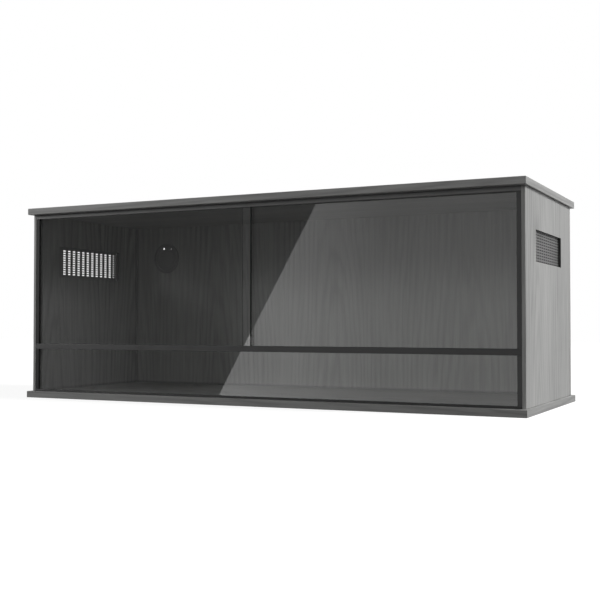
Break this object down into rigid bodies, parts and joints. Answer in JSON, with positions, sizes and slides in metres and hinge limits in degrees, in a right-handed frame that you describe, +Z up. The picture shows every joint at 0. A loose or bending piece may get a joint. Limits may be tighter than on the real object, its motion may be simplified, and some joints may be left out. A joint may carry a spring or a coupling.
{
  "type": "terrarium cabinet",
  "caption": "Wide melamine terrarium cabinet with two sliding glass doors over a fixed lower pane, slotted side vents and a cable port in the back.",
  "frame": {"origin": "on the floor, under the middle of the cabinet's bounding box", "axes": "+X to the cabinet's right as seen from the front, +Y to the back, +Z up; the sliding doors face -Y"},
  "size_m": [1.195, 0.45, 0.45],
  "materials": {
    "grey_oak": "grey oak woodgrain melamine on board, satin, with matching edge banding",
    "black_plastic": "black extruded and moulded plastic, semi-gloss",
    "grey_plastic": "light grey moulded plastic, satin",
    "glass": "clear float glass with polished edges",
    "zinc_steel": "bright zinc-plated steel"
  },
  "bodies": {
    "carcass": {"top_panel": "grey_oak", "bottom_panel": "grey_oak", "left_side_panel": "grey_oak", "right_side_panel": "grey_oak", "back_panel": "grey_oak", "top_screw_left_front": "zinc_steel", "top_screw_left_rear": "zinc_steel", "top_screw_right_front": "zinc_steel", "top_screw_right_rear": "zinc_steel", "top_screw_back_left": "zinc_steel", "top_screw_back_right": "zinc_steel", "bottom_screw_left_front": "zinc_steel", "bottom_screw_left_rear": "zinc_steel", "bottom_screw_right_front": "zinc_steel", "bottom_screw_right_rear": "zinc_steel", "bottom_screw_back_left": "zinc_steel", "bottom_screw_back_right": "zinc_steel", "back_screw_left_upper": "zinc_steel", "back_screw_left_lower": "zinc_steel", "back_screw_right_upper": "zinc_steel", "back_screw_right_lower": "zinc_steel", "top_track": "black_plastic", "middle_rail": "black_plastic", "bottom_channel": "black_plastic", "left_door_channel": "black_plastic", "right_door_channel": "black_plastic", "left_pane_channel": "black_plastic", "right_pane_channel": "black_plastic", "lower_fixed_glass": "glass", "left_vent_grille": "grey_plastic", "right_vent_grille": "grey_plastic", "left_vent_screw_front_lower": "zinc_steel", "left_vent_screw_front_upper": "zinc_steel", "left_vent_screw_rear_lower": "zinc_steel", "left_vent_screw_rear_upper": "zinc_steel", "right_vent_screw_front_lower": "zinc_steel", "right_vent_screw_front_upper": "zinc_steel", "right_vent_screw_rear_lower": "zinc_steel", "right_vent_screw_rear_upper": "zinc_steel", "cable_port_liner": "black_plastic"},
    "left_door": {"left_door_glass": "glass"},
    "right_door": {"right_door_glass": "glass"},
    "port_cap": {"cable_port_cap": "black_plastic"}
  },
  "joints": [
    {"name": "left_door_slide", "type": "slide", "parent": "carcass", "child": "left_door", "axis": [1, 0, 0], "range_m": [0, 0.5757]},
    {"name": "right_door_slide", "type": "slide", "parent": "carcass", "child": "right_door", "axis": [1, 0, 0], "range_m": [-0.5549, 0]},
    {"name": "port_cap_turn", "type": "hinge", "parent": "carcass", "child": "port_cap", "pos_m": [-0.4788, 0.188, 0.3518], "axis": [0, 1, 0], "continuous": true}
  ]
}
